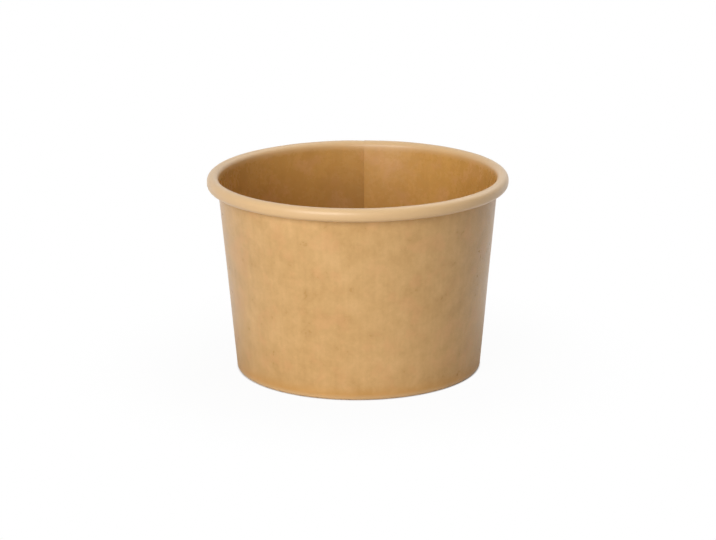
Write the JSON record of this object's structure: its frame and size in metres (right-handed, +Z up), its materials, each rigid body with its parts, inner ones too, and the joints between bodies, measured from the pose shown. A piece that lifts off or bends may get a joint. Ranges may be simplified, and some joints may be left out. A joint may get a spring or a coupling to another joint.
{
  "type": "paper ice cream tub",
  "caption": "Round kraft board tub for a scoop of ice cream: a tapered sidewall with a rolled rim, a lapped side seam and a folded foot that grips a recessed flat bottom.",
  "frame": {"origin": "centre of the ring that the tub stands on, at table level", "axes": "+Z up along the tub's axis, towards the open rim; the front is towards -Y and the side seam is at the back, towards +Y"},
  "size_m": [0.09, 0.0899, 0.0592],
  "materials": {
    "kraft_board": "satin",
    "kraft_bottom": "satin"
  },
  "bodies": {
    "root": {"sidewall": "kraft_board", "bottom_disc": "kraft_bottom"}
  },
  "joints": []
}
